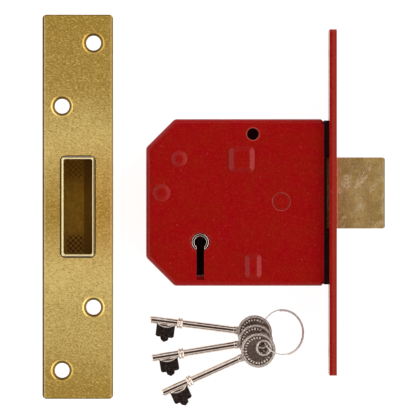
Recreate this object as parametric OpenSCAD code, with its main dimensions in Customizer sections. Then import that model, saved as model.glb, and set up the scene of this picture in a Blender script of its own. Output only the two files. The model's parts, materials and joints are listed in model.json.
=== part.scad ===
// Mortice deadlock kit, laid out flat: lock with its bolt thrown, box keep, and three keys on a split ring.
// Origin: the key axis at the middle of the case's thickness. +X runs out along the bolt, +Y up the forend,
// +Z out of the case's face. All sizes are in millimetres.

/* [Case] */
// Key axis to the back edge of the case
case_back = 22.8; // [20.5:0.1:30]
// Key axis to the top edge of the case
case_above = 51.7; // [50:0.1:70]
// Key axis to the bottom edge of the case
case_below = 18.4; // [17.5:0.1:40]
// Thickness of the case
case_t = 18; // [17:0.5:22]
// Thickness of the case's sheet steel
sheet_t = 1.6; // [1.2:0.1:2]
// Leg of the cut rear corners
corner_cut = 12; // [6:0.5:13]
// How far back from its point each rear corner starts to round
corner_round = 1; // [0.2:0.1:3]
// Leg of the small cuts at the front corners
front_cut = 1.3; // [0.5:0.1:3]
// Outer radius of the bend round the face
bend_r = 2.2; // [1:0.1:3]
// Gap between the case and the forend
front_gap = 2.2; // [1.5:0.1:4]
// Height of the pressed pads on the face
pad_h = 1.2; // [0.4:0.1:1.5]
// Height of the domed rivet ends on the face
dome_h = 0.9; // [0.2:0.1:1.2]

/* [Forend] */
// Key axis to the outer face of the forend
backset = 57.3; // [55:0.1:80]
// Length of the forend
forend_l = 145.4; // [140:0.1:180]
// Width of the forend
forend_w = 24; // [22:0.5:28]
// Thickness of the forend's inner plate
forend_inner_t = 1.5; // [1:0.1:2.5]
// Thickness of the forend's outer plate
forend_outer_t = 1.6; // [1.4:0.1:2.5]
// Distance between the two wood screw holes
forend_pitch = 125; // [110:0.5:130]
// Radius of the wood screw holes
forend_hole_r = 2.6; // [2:0.1:3]
// Distance between the two screws that join the plates
joining_pitch = 88; // [80:0.5:100]

/* [Bolt] */
// Height of the bolt
bolt_h = 29.9; // [24:0.1:31]
// Thickness of the bolt
bolt_t = 11; // [10:0.1:12]
// Key axis to the bottom edge of the bolt
bolt_low = 5.7; // [5.5:0.1:7]
// Distance that the bolt travels
throw = 20.3; // [16:0.1:21]
// Length of the bolt head that stays behind the forend's inner face when thrown
head_tail = 4.2; // [3.5:0.1:6]
// Clearance between the bolt and what it slides in
bolt_clear = 0.2; // [0.15:0.05:0.4]
// Thickness of the bolt's tail plate
tail_t = 2.3; // [1.8:0.1:2.6]

/* [Levers] */
// Thickness of a lever
lever_t = 1.35; // [1:0.05:1.4]
// Free space between two levers
lever_gap = 0.3; // [0.2:0.05:0.35]
// Radius of the post that the levers turn on
post_r = 2.5; // [2:0.1:2.8]
// Running clearance of the levers on their post
run_clear = 0.05; // [0.02:0.01:0.1]
// Lift of each lever, in degrees, when the bolt is drawn
lever_lift = [6, 7.5, 6.5, 8, 7];

/* [Keyhole] */
// Radius of the hole in the case's plates
keyhole_r = 3.9; // [3.8:0.05:4.3]
// Outer radius of the curtain
curtain_r = 3.55; // [3.3:0.05:3.6]
// Radius of the bore for the key's shank
key_bore_r = 2.5; // [2:0.05:2.5]
// Width of the slot for the key's bit
slot_w = 3.2; // [2.6:0.1:3.3]
// Key axis to the lower end of the slot
slot_reach = 15.9; // [12:0.1:16]
// Radius of the through hole for the furniture screw
fixing_r = 2.5; // [2:0.1:3]

/* [Box keep] */
// Width of the keep's plate
keep_w = 29.6; // [27:0.1:40]
// Length of the keep's plate
keep_l = 161.2; // [155:0.1:200]
// Thickness of the keep's plate
keep_t = 2.5; // [2:0.1:3]
// Whole depth of the keep, from its face to the floor of the box
keep_d = 23.5; // [22:0.5:30]
// Inner width of the box
box_w = 12.2; // [11.6:0.1:14]
// Inner height of the box
box_h = 40.1; // [34:0.1:50]
// Thickness of the box's sheet
box_t = 1; // [0.8:0.1:1.5]
// Radius of the keep's screw holes
keep_hole_r = 3.1; // [2.5:0.1:3.5]
// Radius of their countersinks
keep_sink_r = 4.7; // [4:0.1:5.2]
// Distance between the two screw holes in one row
keep_pitch = 110.9; // [104:0.1:130]
// Distance of both rows from the keep's middle line
keep_row = 6.6; // [5:0.1:8]
// Distance that each row stands off the keep's middle, along the plate
keep_shift = 13.25; // [5:0.25:16]
// Width and depth of the groove round the box, in the keep's face
keep_groove = 0.45; // [0.2:0.05:0.8]

/* [Keys] */
// Bow hole to the tip of the key
key_l = 47.5; // [40:0.05:50]
// Radius of the key's shank
shank_r = 1.65; // [1.4:0.05:2]
// Radius of the key's collar
collar_r = 2.5; // [2:0.1:3]
// Tip of the key to the middle of the collar
collar_at = 13; // [11:0.1:16]
// Width of the bit
bit_w = 7.8; // [6:0.1:8.5]
// Reach of the bit from the shank's axis
bit_reach = 8.8; // [8:0.1:10]
// Thickness of the bit
bit_t = 2.2; // [1.6:0.1:2.6]
// Radius of the bow
bow_r = 7.35; // [7:0.05:8]
// Thickness of the bow
bow_t = 1.2; // [1:0.1:1.3]
// Radius of the hole in the bow
bow_hole_r = 2.5; // [2.3:0.1:2.6]

/* [Split ring] */
// Half the width of the ring
ring_rx = 8.6; // [8.5:0.05:9]
// Half the height of the ring
ring_ry = 9.4; // [9.2:0.05:9.8]
// Radius of the ring's wire
wire_r = 0.5; // [0.4:0.05:0.55]

/* [Hidden] */
$fn = 64;
e = 0.01;

// Case: its planes, and the room inside it
face_z = case_t / 2;
inner_z = face_z - sheet_t;
table_z = -forend_w / 2;
forend_back = backset - forend_inner_t - forend_outer_t;
case_front = forend_back - front_gap;
case_mid = (case_above - case_below) / 2;
bend_step = 18;
edge_cut = 0.25;

// Pads on the face, by their lower left and upper right corners, and the domes, by middle and radius
PADS = [[11.5, case_above - 22.9, 23.3, case_above - 11],
    [18.2, -case_below + 2.3, 26.2, -case_below + 14.1]];
upper_dome = [-8.9, case_above - 16.7, 3.4];
post_dome_r = 3.75;

// Bolt and its tail, with the bolt thrown
bolt_mid = bolt_low + bolt_h / 2;
head_rear = forend_back - head_tail;
head_front = backset + throw;
tip_cut = 0.6;
tail_low_z = -bolt_t / 2;
tail_top_z = tail_low_z + tail_t;
tail_lap = 3;
tail_top = bolt_low + bolt_h - 2.1;
lap_rivet_r = 1.2;
rod_r = 2;
rod_l = 22;
rod_clear = 0.05;

// Lever pack: the post, and the stump that the levers' gates let through
post_x = -case_back + sheet_t + 4.9;
post_y = bolt_mid + 0.05;
lever_boss_r = 4.5;
lever_z0 = tail_top_z + 0.3;
lever_top = bolt_low + bolt_h - 2.6;
lever_low = bolt_low + 8.3;
lever_front = head_rear - throw - 1.5;
stump_w = 5;
stump_h = 3.2;
stump_x = lever_front - 6.2;
stump_y = bolt_mid + 4.35;
stump_spigot_r = 1.4;
stump_top_z = lever_z0 + 5 * (lever_t + lever_gap) + 0.3;
stump_dx = stump_x - post_x;
stump_dy = stump_y - post_y;
gate_clear = 0.25;
gate_bar = 4;
tail_rear = max(post_x + throw - 3.8, -case_back + sheet_t + throw + 1);
talon_w = 5;
talon_depth = 4.2;
belly_w = 13.5;
spring_t = 0.4;
spring_root_x = -2;
spring_r = 60;
spring_clear = 0.25;

// Plates and posts inside the case
drill_t = 1;
drill_back = -9;
drill_front = 40;
drill_low = -case_below + sheet_t + 0.4;
drill_top = 24;
drill_slot_wall = 1.75;
pillar_r = 3;
cap_screw_r = 1.5;
cap_head_r = 2.9;
thread_clear = 0.05;
fixing_x = 22.1;
fixing_y = case_above - 6.3;
sleeve_wall = 1.5;
rivet_x = 34;
rivet_y = 17;
rivet_head_r = 3.4;
rivet_shank_r = 1.9;
pillar_in = sheet_t + pillar_r + 1.4;
PILLARS = [[-case_back + corner_cut - 1.7, case_above - pillar_in - 3.7],
    [case_front - pillar_in, case_above - pillar_in],
    [-case_back + corner_cut - 2.2, -case_below + pillar_in + 3.4],
    [case_front - pillar_in, -case_below + pillar_in]];

// Keep: it lies left of the case, with its box down on the table
keep_x = -case_back - 28.6;
keep_y = case_mid - 1.8;
keep_top_z = table_z + keep_d;
sink_h = keep_sink_r - keep_hole_r;

// Keys: each row is the bow hole's offset from the ring's middle, and its turn and pitch in degrees
ring_x = case_front - 17.2;
ring_y = -case_below - 20;
bow_offset = 2.65;
neck_l = 0.6;
bow_sink = 0.2;
bow_rim_w = 0.9;
neck_at = bow_offset + bow_r + neck_l;
key_step = 1.9;
key_z0 = table_z + collar_r;
KEY_AT = [[-9.2, -0.4], [-8.8, -3.4], [-7.9, -6.4]];
KEY_TURN = [-7.25, 9.15, 24.15];
KEY_PITCH = [0, 3.1, 5.6];

// Ring: it dives through the bow holes on its left side and climbs slowly round the right
ring_low_z = table_z + wire_r;
ring_high_z = key_z0 + 2 * key_step + bow_t / 2 + wire_r + 0.7;
dive_from = 245;
dive_to = 155;
ring_steps = 60;
wire_sides = 10;

red = [0.58, 0.06, 0.05];
dark = [0.09, 0.08, 0.08];
brass = [0.74, 0.6, 0.32];
worn_brass = [0.58, 0.46, 0.26];
steel = [0.62, 0.62, 0.63];
nickel = [0.72, 0.69, 0.66];

function unit(v) = v / norm(v);

// Outline of the case, drawn in by d on three sides and by f at the front
function cut_leg(d) = corner_cut - d * (2 - sqrt(2));
function case_corners(d, f, notch) = [
    [-case_back + d, -case_below + d + cut_leg(d)], [-case_back + d + cut_leg(d), -case_below + d],
    [case_front - f - notch, -case_below + d], [case_front - f, -case_below + d + notch],
    [case_front - f, case_above - d - notch], [case_front - f - notch, case_above - d],
    [-case_back + d + cut_leg(d), case_above - d], [-case_back + d, case_above - d - cut_leg(d)]];

// Curve that takes the place of corner b, between its neighbours a and c
function soft_corner(a, b, c) = let (p = b + corner_round * unit(a - b), q = b + corner_round * unit(c - b))
    [for (t = [0:0.25:1]) (1 - t) * (1 - t) * p + 2 * t * (1 - t) * b + t * t * q];
function case_points(d = 0, f = 0, notch = front_cut) = let (p = case_corners(d, f, notch))
    [for (i = [0:7]) each i > 1 && i < 6 ? [p[i]] : soft_corner(p[(i + 7) % 8], p[i], p[(i + 1) % 8])];

module slab(z0, z1, points) {
    translate([0, 0, z0])
        linear_extrude(z1 - z0)
            polygon(points);
}

// Rectangle with round corners, centred
module rounded(w, h, r) {
    square([w - 2 * r, h], center = true);
    square([w, h - 2 * r], center = true);
    for (x = [-1, 1], y = [-1, 1])
        translate([x * (w / 2 - r), y * (h / 2 - r)])
            circle(r);
}

// Pressed pad with sloping sides
module pad(p) {
    slope = 2.5;
    foot_r = 2.9;
    root = 0.3;
    translate([0, 0, face_z - root])
        hull()
            for (x = [p[0] + foot_r, p[2] - foot_r], y = [p[1] + foot_r, p[3] - foot_r])
                translate([x, y, 0])
                    cylinder(h = pad_h + root, r1 = foot_r, r2 = foot_r - slope, $fn = 32);
}

// Low dome on the face: the end of a post that is riveted over
module dome(x, y, r) {
    ball_r = (r * r + dome_h * dome_h) / (2 * dome_h);
    root = 0.3;
    translate([x, y, face_z])
        intersection() {
            translate([0, 0, dome_h - ball_r])
                sphere(ball_r, $fn = 96);
            translate([0, 0, -root])
                cylinder(h = root + dome_h + 1, r = r);
        }
}

// Keyhole through the plates between z0 and z1
module keyhole(z0, z1, r, reach) {
    translate([0, 0, z0])
        cylinder(h = z1 - z0, r = r);
    translate([-slot_w / 2, -reach, z0])
        cube([slot_w, reach, z1 - z0]);
}

// Holes for the drill plates' rivets, chamfered on the outside of both plates
module rivet_holes() {
    r = rivet_head_r + thread_clear;
    for (s = [0, 1])
        mirror([0, 0, s])
            translate([rivet_x, rivet_y, 0]) {
                translate([0, 0, inner_z - 1])
                    cylinder(h = sheet_t + 2, r = r);
                translate([0, 0, face_z - edge_cut])
                    cylinder(h = edge_cut + e, r1 = r, r2 = r + edge_cut + e);
            }
}

// Solid block of the case's outer shape, bent round the face
module case_block() {
    hull() {
        slab(-inner_z, face_z - bend_r, case_points());
        for (a = [bend_step:bend_step:90])
            slab(face_z - bend_r + bend_r * sin(a) - e, face_z - bend_r + bend_r * sin(a),
                case_points(bend_r * (1 - cos(a))));
    }
}

module case_face() {
    color(red) difference() {
        union() {
            difference() {
                case_block();
                slab(-face_z, inner_z, case_points(-1, -1, 0));
            }
            for (p = PADS)
                pad(p);
            dome(upper_dome[0], upper_dome[1], upper_dome[2]);
            dome(post_x, post_y, post_dome_r);
        }
        keyhole(inner_z - 1, face_z + 1, keyhole_r, slot_reach);
        translate([0, 0, face_z - 0.5])
            cylinder(h = 0.5 + e, r1 = keyhole_r, r2 = keyhole_r + 0.5);
        translate([fixing_x, fixing_y, inner_z - 1])
            cylinder(h = sheet_t + 2, r = fixing_r);
        rivet_holes();
    }
}

// Strip bent round the case's sides, open at the front
module case_wall() {
    color(red) difference() {
        case_block();
        slab(-face_z, face_z, case_points(sheet_t, -5, 0));
        slab(inner_z, face_z + 1, case_points(-1, -1, 0));
    }
}

module case_cap() {
    color(red) difference() {
        slab(-face_z, -inner_z, case_points());
        keyhole(-face_z - 1, -inner_z + 1, keyhole_r, slot_reach);
        translate([fixing_x, fixing_y, -face_z - 1])
            cylinder(h = sheet_t + 2, r = fixing_r);
        rivet_holes();
        for (p = PILLARS)
            translate([p[0], p[1], -face_z - e]) {
                cylinder(h = sheet_t + 1, r = cap_screw_r + thread_clear);
                cylinder(h = cap_head_r - cap_screw_r + e, r1 = cap_head_r + thread_clear,
                    r2 = cap_screw_r + thread_clear);
            }
    }
}

module cap_screws() {
    color(steel) for (p = PILLARS)
        translate([p[0], p[1], -face_z])
            difference() {
                union() {
                    cylinder(h = 7, r = cap_screw_r);
                    cylinder(h = cap_head_r - cap_screw_r, r1 = cap_head_r, r2 = cap_screw_r);
                }
                translate([-cap_head_r, -0.35, -e])
                    cube([2 * cap_head_r, 0.7, 0.6]);
            }
}

module case_pillars() {
    color(steel) for (p = PILLARS)
        translate([p[0], p[1], -inner_z])
            difference() {
                cylinder(h = 2 * inner_z, r = pillar_r);
                translate([0, 0, -1])
                    cylinder(h = 8, r = cap_screw_r + thread_clear);
            }
}

// Dark bracket that closes the case's front and carries the forend
module front_bracket() {
    lip = 0.5;
    inset = 0.6;
    depth = 1.6;
    low = -case_below + sheet_t + 0.05;
    high = case_above - sheet_t - 0.05;
    color(dark) difference() {
        union() {
            translate([case_front - depth, low, -inner_z + 0.05])
                cube([depth + e, high - low, 2 * inner_z - 0.1]);
            translate([case_front, -case_below + inset, -face_z + lip])
                cube([front_gap, case_above + case_below - 2 * inset, case_t - 2 * lip]);
        }
        translate([case_front - depth - 1, bolt_low - bolt_clear, -bolt_t / 2 - bolt_clear])
            cube([front_gap + depth + 2, bolt_h + 2 * bolt_clear, bolt_t + 2 * bolt_clear]);
        translate([case_front + front_gap / 2, bolt_low - 0.6, -bolt_t / 2 - bolt_clear])
            cube([front_gap, bolt_h + 1.2, case_t]);
    }
}

// One plate of the forend, from x0, t thick, with the holes that both plates share
module forend_plate(x0, t) {
    difference() {
        translate([x0, case_mid, 0])
            rotate([90, 0, 90])
                linear_extrude(t)
                    rounded(forend_l, forend_w, 1.2);
        translate([x0 - 1, bolt_low - bolt_clear, -bolt_t / 2 - bolt_clear])
            cube([t + 2, bolt_h + 2 * bolt_clear, bolt_t + 2 * bolt_clear]);
        for (s = [-1, 1]) {
            translate([x0 - 1, case_mid + s * forend_pitch / 2, 0])
                rotate([0, 90, 0])
                    cylinder(h = t + 2, r = forend_hole_r);
            translate([x0 - 1, case_mid + s * joining_pitch / 2, 0])
                rotate([0, 90, 0])
                    cylinder(h = t + 2, r = cap_screw_r + thread_clear);
        }
    }
}

module forend_inner() {
    color(red) forend_plate(forend_back, forend_inner_t);
}

module forend_outer() {
    x0 = forend_back + forend_inner_t;
    color(red) difference() {
        forend_plate(x0, forend_outer_t);
        for (s = [-1, 1]) {
            translate([x0, case_mid + s * forend_pitch / 2, 0])
                rotate([0, 90, 0])
                    cylinder(h = forend_outer_t + e, r1 = forend_hole_r,
                        r2 = forend_hole_r + forend_outer_t + e);
            translate([backset - 1.4, case_mid + s * joining_pitch / 2, 0])
                rotate([0, 90, 0])
                    cylinder(h = 1.4 + e, r1 = cap_screw_r + thread_clear,
                        r2 = cap_screw_r + thread_clear + 1.4);
        }
    }
}

module forend_screws() {
    color(steel) for (s = [-1, 1])
        translate([backset, case_mid + s * joining_pitch / 2, 0])
            rotate([0, -90, 0])
                difference() {
                    union() {
                        cylinder(h = forend_inner_t + forend_outer_t, r = cap_screw_r);
                        cylinder(h = 1.4, r1 = cap_screw_r + 1.4, r2 = cap_screw_r);
                    }
                    translate([-4, -0.4, -e])
                        cube([8, 0.8, 0.7]);
                }
}

// Hardened plate behind the case's sheet; it is also the bearing of the curtain
module drill_plate(z0) {
    difference() {
        translate([drill_back, drill_low, z0])
            cube([drill_front - drill_back, drill_top - drill_low, drill_t]);
        keyhole(z0 - 1, z0 + drill_t + 1, curtain_r + run_clear, slot_reach - drill_slot_wall);
        translate([rivet_x, rivet_y, z0 - 1])
            cylinder(h = drill_t + 2, r = rivet_shank_r + thread_clear);
    }
}

module front_drill_plate() {
    color(red) drill_plate(inner_z - drill_t);
}

module back_drill_plate() {
    color(steel) drill_plate(-inner_z);
}

module plate_rivets() {
    color(red) for (s = [0, 1])
        mirror([0, 0, s])
            translate([rivet_x, rivet_y, 0]) {
                translate([0, 0, inner_z])
                    cylinder(h = sheet_t - edge_cut, r = rivet_head_r);
                translate([0, 0, face_z - edge_cut])
                    cylinder(h = edge_cut, r1 = rivet_head_r, r2 = rivet_head_r - edge_cut);
                translate([0, 0, inner_z - drill_t])
                    cylinder(h = drill_t + e, r = rivet_shank_r);
            }
}

module fixing_sleeve() {
    color(steel) translate([fixing_x, fixing_y, -inner_z])
        difference() {
            cylinder(h = 2 * inner_z, r = fixing_r + sleeve_wall);
            translate([0, 0, -1])
                cylinder(h = case_t, r = fixing_r);
        }
}

module lever_post() {
    color(steel) translate([post_x, post_y, -inner_z])
        cylinder(h = 2 * inner_z, r = post_r);
}

module curtain() {
    flange_r = 5.2;
    flange_t = 0.6;
    flange_z = inner_z - drill_t - 0.2;
    color(nickel) difference() {
        union() {
            translate([0, 0, -face_z + 0.2])
                cylinder(h = case_t - 0.4, r = curtain_r);
            translate([0, 0, flange_z - flange_t])
                cylinder(h = flange_t, r = flange_r);
            translate([0, 0, -flange_z])
                cylinder(h = flange_t, r = flange_r);
        }
        translate([0, 0, -case_t])
            cylinder(h = 2 * case_t, r = key_bore_r);
        translate([-slot_w / 2, -2 * flange_r, -case_t])
            cube([slot_w, 2 * flange_r, 2 * case_t]);
    }
}

module bolt_head() {
    color(worn_brass) difference() {
        slab(-bolt_t / 2, bolt_t / 2, [[head_rear, bolt_low], [head_front - tip_cut, bolt_low],
            [head_front, bolt_low + tip_cut], [head_front, bolt_low + bolt_h - tip_cut],
            [head_front - tip_cut, bolt_low + bolt_h], [head_rear, bolt_low + bolt_h]]);
        translate([head_rear - 1, bolt_low - 1, -bolt_t])
            cube([tail_lap + 1, bolt_h + 2, bolt_t / 2 + tail_t]);
        for (y = [-1, 1]) {
            translate([head_rear - 1, bolt_mid + y * bolt_h / 4, 1.2])
                rotate([0, 90, 0])
                    cylinder(h = rod_l + 1.2, r = rod_r + rod_clear);
            translate([head_rear + tail_lap / 2, bolt_mid + y * bolt_h / 3, -bolt_t / 2])
                cylinder(h = 4, r = lap_rivet_r + rod_clear);
        }
    }
}

module bolt_tail() {
    color(steel) difference() {
        translate([tail_rear, bolt_low, tail_low_z])
            cube([head_rear + tail_lap - tail_rear, tail_top - bolt_low, tail_t]);
        translate([tail_rear - 1, post_y - post_r - 0.3, tail_low_z - 1])
            cube([post_x + throw - tail_rear + 1, 2 * post_r + 0.6, tail_t + 2]);
        translate([post_x + throw, post_y, tail_low_z - 1])
            cylinder(h = tail_t + 2, r = post_r + 0.3);
        translate([(throw - talon_w) / 2, bolt_low - 1, tail_low_z - 1])
            cube([talon_w, talon_depth + 1, tail_t + 2]);
        translate([stump_x, stump_y, tail_low_z - 1])
            cylinder(h = tail_t + 2, r = stump_spigot_r + rod_clear);
        for (y = [-1, 1])
            translate([head_rear + tail_lap / 2, bolt_mid + y * bolt_h / 3, tail_low_z - 1])
                cylinder(h = tail_t + 2, r = lap_rivet_r + rod_clear);
    }
}

module bolt_stump() {
    color(steel) {
        translate([stump_x - stump_w / 2, stump_y - stump_h / 2, tail_top_z])
            cube([stump_w, stump_h, stump_top_z - tail_top_z]);
        translate([stump_x, stump_y, tail_low_z])
            cylinder(h = tail_t + e, r = stump_spigot_r);
    }
}

module bolt_rods() {
    color(steel) for (y = [-1, 1])
        translate([head_rear + 0.1, bolt_mid + y * bolt_h / 4, 1.2])
            rotate([0, 90, 0])
                cylinder(h = rod_l, r = rod_r);
}

module bolt_rivets() {
    color(steel) for (y = [-1, 1])
        translate([head_rear + tail_lap / 2, bolt_mid + y * bolt_h / 3, tail_low_z])
            cylinder(h = 3.8, r = lap_rivet_r);
}

// Where the stump stands in a lever's own frame, measured from the post, once the bolt has moved in by s
function lift_at(s, lift) = lift * s / throw;
function stump_u(s, lift) = (stump_dx - s) * cos(lift_at(s, lift)) + stump_dy * sin(lift_at(s, lift));
function stump_v(s, lift) = stump_dy * cos(lift_at(s, lift)) - (stump_dx - s) * sin(lift_at(s, lift));

module lever_window(lift) {
    reach = (stump_w + gate_bar) / 2 + gate_clear;
    s0 = throw / 2 - reach;
    s1 = throw / 2 + reach;
    gate_u = stump_u(throw / 2, lift);
    front_u = stump_u(0, lift) + stump_w / 2 + gate_clear;
    rear_u = stump_u(throw, lift) - stump_w / 2 - 2 * gate_clear;
    gate_low = stump_v(s1, lift) - stump_h / 2 - gate_clear;
    gate_high = stump_v(s0, lift) + stump_h / 2 + gate_clear;
    rear_low = stump_v(throw, lift) - stump_h / 2 - 1.6;
    front_high = stump_dy + stump_h / 2 + 1.4;
    translate([gate_u + gate_bar / 2, gate_low - 1])
        square([front_u - gate_u - gate_bar / 2, front_high - gate_low + 1]);
    translate([gate_u - gate_bar / 2 - e, gate_low])
        square([gate_bar + 2 * e, gate_high - gate_low]);
    translate([rear_u, rear_low])
        square([gate_u - gate_bar / 2 - rear_u, gate_high + 1.2 - rear_low]);
}

module lever(k) {
    lift = lever_lift[k];
    belly = bit_reach + post_x * tan(lift);
    color(brass) translate([0, 0, lever_z0 + k * (lever_t + lever_gap)])
        linear_extrude(lever_t)
            difference() {
                union() {
                    translate([post_x, post_y])
                        circle(lever_boss_r);
                    polygon([[post_x, post_y - lever_boss_r], [-belly_w / 2, belly], [belly_w / 2, belly],
                        [belly_w, lever_low - 1.5], [lever_front, lever_low], [lever_front, lever_top],
                        [spring_root_x, lever_top], [post_x, post_y + lever_boss_r]]);
                }
                translate([post_x, post_y]) {
                    circle(post_r + run_clear);
                    lever_window(lift);
                }
            }
}

// Bent leaf, from the lever's top edge up to the fixing sleeve
module lever_spring(k) {
    run = fixing_x - spring_root_x;
    rise = fixing_y - fixing_r - sleeve_wall - spring_t - spring_clear - lever_top;
    chord = sqrt(run * run + rise * rise);
    half = asin(chord / 2 / spring_r);
    lean = atan2(rise, run);
    color(steel) translate([spring_root_x, lever_top, lever_z0 + k * (lever_t + lever_gap) + 0.15])
        rotate([0, 0, lean])
            translate([chord / 2, spring_r * cos(half), 0])
                rotate([0, 0, -90 - half])
                    rotate_extrude(angle = 2 * half, $fn = 180)
                        translate([spring_r - spring_t, 0])
                            square([spring_t, lever_t - 0.3]);
}

module keep_plate() {
    hole_w = box_w + 2 * box_t + 0.1;
    hole_h = box_h + 2 * box_t + 0.1;
    hole_corner = 1 + box_t;
    color(brass) translate([keep_x, keep_y, keep_top_z - keep_t])
        difference() {
            linear_extrude(keep_t)
                difference() {
                    rounded(keep_w, keep_l, 1.7);
                    rounded(hole_w, hole_h, hole_corner);
                }
            translate([0, 0, keep_t - keep_groove])
                linear_extrude(1)
                    rounded(hole_w + 2 * keep_groove, hole_h + 2 * keep_groove, hole_corner + keep_groove);
            for (s = [-1, 1], y = [-1, 1])
                translate([s * keep_row, s * keep_shift + y * keep_pitch / 2, -1]) {
                    cylinder(h = keep_t + 2, r = keep_hole_r);
                    translate([0, 0, keep_t + 1 - sink_h])
                        cylinder(h = sink_h + e, r1 = keep_hole_r, r2 = keep_sink_r + e);
                }
        }
}

module keep_box() {
    color(brass) translate([keep_x, keep_y, table_z])
        difference() {
            linear_extrude(keep_d)
                rounded(box_w + 2 * box_t, box_h + 2 * box_t, 1 + box_t);
            translate([0, 0, box_t])
                linear_extrude(keep_d)
                    rounded(box_w, box_h, 1);
        }
}

// Puts a key's own frame, with its bow hole at the origin and its tip towards -X, in its place
module key_place(k) {
    translate([ring_x + KEY_AT[k][0], ring_y + KEY_AT[k][1], key_z0 + k * key_step])
        rotate([0, 0, KEY_TURN[k]])
            rotate([0, -KEY_PITCH[k], 0])
                children();
}

module key_shank(k) {
    tip_r = 0.7;
    bead = 1;
    c = key_l - collar_at;
    color(nickel) key_place(k)
        rotate([0, -90, 0])
            rotate_extrude() {
                polygon([[0, neck_at], [shank_r, neck_at], [shank_r, key_l - tip_r],
                    [shank_r - tip_r * 0.3, key_l - tip_r * 0.3], [shank_r - tip_r, key_l], [0, key_l]]);
                for (z = [c - bead * 0.6, c + bead * 0.6])
                    intersection() {
                        translate([collar_r - bead / 2, z])
                            circle(bead / 2, $fn = 32);
                        square([collar_r, key_l]);
                    }
                translate([0, c - bead * 0.6])
                    square([collar_r - bead / 2, bead * 1.2]);
                translate([0, neck_at])
                    square([shank_r + 0.2, bead]);
            }
}

module key_bit(k) {
    x0 = -key_l + 3.3;
    x1 = x0 + bit_w;
    step_y = -bit_reach + 2.1;
    root_y = -shank_r * 0.8;
    color(dark) key_place(k)
        difference() {
            translate([0, 0, -bit_t / 2])
                linear_extrude(bit_t)
                    polygon([[x0, root_y], [x0, step_y + 0.6], [x0 + 0.6, step_y], [x0 + 2.1, step_y],
                        [x0 + 2.5, -bit_reach + 0.9], [x0 + 3.9, -bit_reach], [x0 + 5.5, -bit_reach + 0.9],
                        [x0 + 5.7, step_y], [x1 - 0.6, step_y], [x1, step_y + 0.6], [x1, root_y]]);
            translate([-key_l - 1, 0, 0])
                rotate([0, 90, 0])
                    cylinder(h = key_l, r = shank_r);
        }
}

module key_bow(k) {
    edge = 0.3;
    face_z = bow_t / 2 - bow_sink;
    face_r = bow_r - bow_rim_w;
    color(dark) key_place(k)
        difference() {
            union() {
                translate([-bow_offset, 0, 0])
                    rotate_extrude($fn = 96)
                        polygon([[0, -face_z], [face_r - bow_sink, -face_z], [face_r, -bow_t / 2],
                            [bow_r - edge, -bow_t / 2], [bow_r, -bow_t / 2 + edge], [bow_r, bow_t / 2 - edge],
                            [bow_r - edge, bow_t / 2], [face_r, bow_t / 2], [face_r - bow_sink, face_z],
                            [0, face_z]]);
                translate([0, 0, -bow_t / 2])
                    cylinder(h = bow_t, r = bow_hole_r + bow_rim_w);
                translate([-neck_at, -shank_r, -bow_t / 2])
                    cube([neck_l + 1, 2 * shank_r, bow_t]);
            }
            translate([0, 0, -bow_t])
                cylinder(h = 2 * bow_t, r = bow_hole_r);
            for (s = [0, 1])
                mirror([0, 0, s])
                    translate([0, 0, bow_t / 2 - edge])
                        cylinder(h = edge + e, r1 = bow_hole_r, r2 = bow_hole_r + edge + 0.2);
        }
}

// Middle of the ring's wire at angle a
function dive(a) = (a - dive_to) / (dive_from - dive_to);
function climb(a) = ((a < dive_to ? a + 360 : a) - dive_from) / (360 - dive_from + dive_to);
function ring_up(a) = a > dive_to && a < dive_from ? (1 - cos(180 * dive(a))) / 2
    : (1 + cos(180 * climb(a))) / 2;
function ring_point(a) = [ring_x + ring_rx * cos(a), ring_y + ring_ry * sin(a),
    ring_low_z + (ring_high_z - ring_low_z) * ring_up(a)];

// One ring of the wire's skin: wire_sides points round the middle line at angle a
function wire_way(a) = unit(ring_point((a + 1) % 360) - ring_point((a + 359) % 360));
function wire_skin(a) = let (p = ring_point(a), t = wire_way(a), out = unit(cross(t, [0, 0, 1])),
        up = cross(out, t), step = 360 / wire_sides)
    [for (i = [0:wire_sides - 1]) p + wire_r * (out * cos(i * step) + up * sin(i * step))];

module split_ring() {
    points = [for (j = [0:ring_steps - 1]) each wire_skin(j * 360 / ring_steps)];
    faces = [for (j = [0:ring_steps - 1], i = [0:wire_sides - 1])
        let (n = (j + 1) % ring_steps, m = (i + 1) % wire_sides)
        [j * wire_sides + i, n * wire_sides + i, n * wire_sides + m, j * wire_sides + m]];
    color(steel) polyhedron(points, faces, convexity = 6);
}

case_face();
case_wall();
case_cap();
cap_screws();
case_pillars();
front_bracket();
forend_inner();
forend_outer();
forend_screws();
front_drill_plate();
back_drill_plate();
plate_rivets();
fixing_sleeve();
lever_post();
curtain();
bolt_head();
bolt_tail();
bolt_stump();
bolt_rods();
bolt_rivets();
lever(0);  // lever_1
lever(1);  // lever_2
lever(2);  // lever_3
lever(3);  // lever_4
lever(4);  // lever_5
lever_spring(0);  // lever_spring_1
lever_spring(1);  // lever_spring_2
lever_spring(2);  // lever_spring_3
lever_spring(3);  // lever_spring_4
lever_spring(4);  // lever_spring_5
keep_plate();
keep_box();
key_shank(0);  // key_1_shank
key_bit(0);  // key_1_bit
key_bow(0);  // key_1_bow
key_shank(1);  // key_2_shank
key_bit(1);  // key_2_bit
key_bow(1);  // key_2_bow
key_shank(2);  // key_3_shank
key_bit(2);  // key_3_bit
key_bow(2);  // key_3_bow
split_ring();
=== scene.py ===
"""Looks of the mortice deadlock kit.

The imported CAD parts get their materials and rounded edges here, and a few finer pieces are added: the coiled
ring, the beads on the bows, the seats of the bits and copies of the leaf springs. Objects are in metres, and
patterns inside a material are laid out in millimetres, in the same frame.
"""
import json
from math import cos, sin, pi, radians

import bmesh
import bpy
from mathutils import Matrix, Vector


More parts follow.
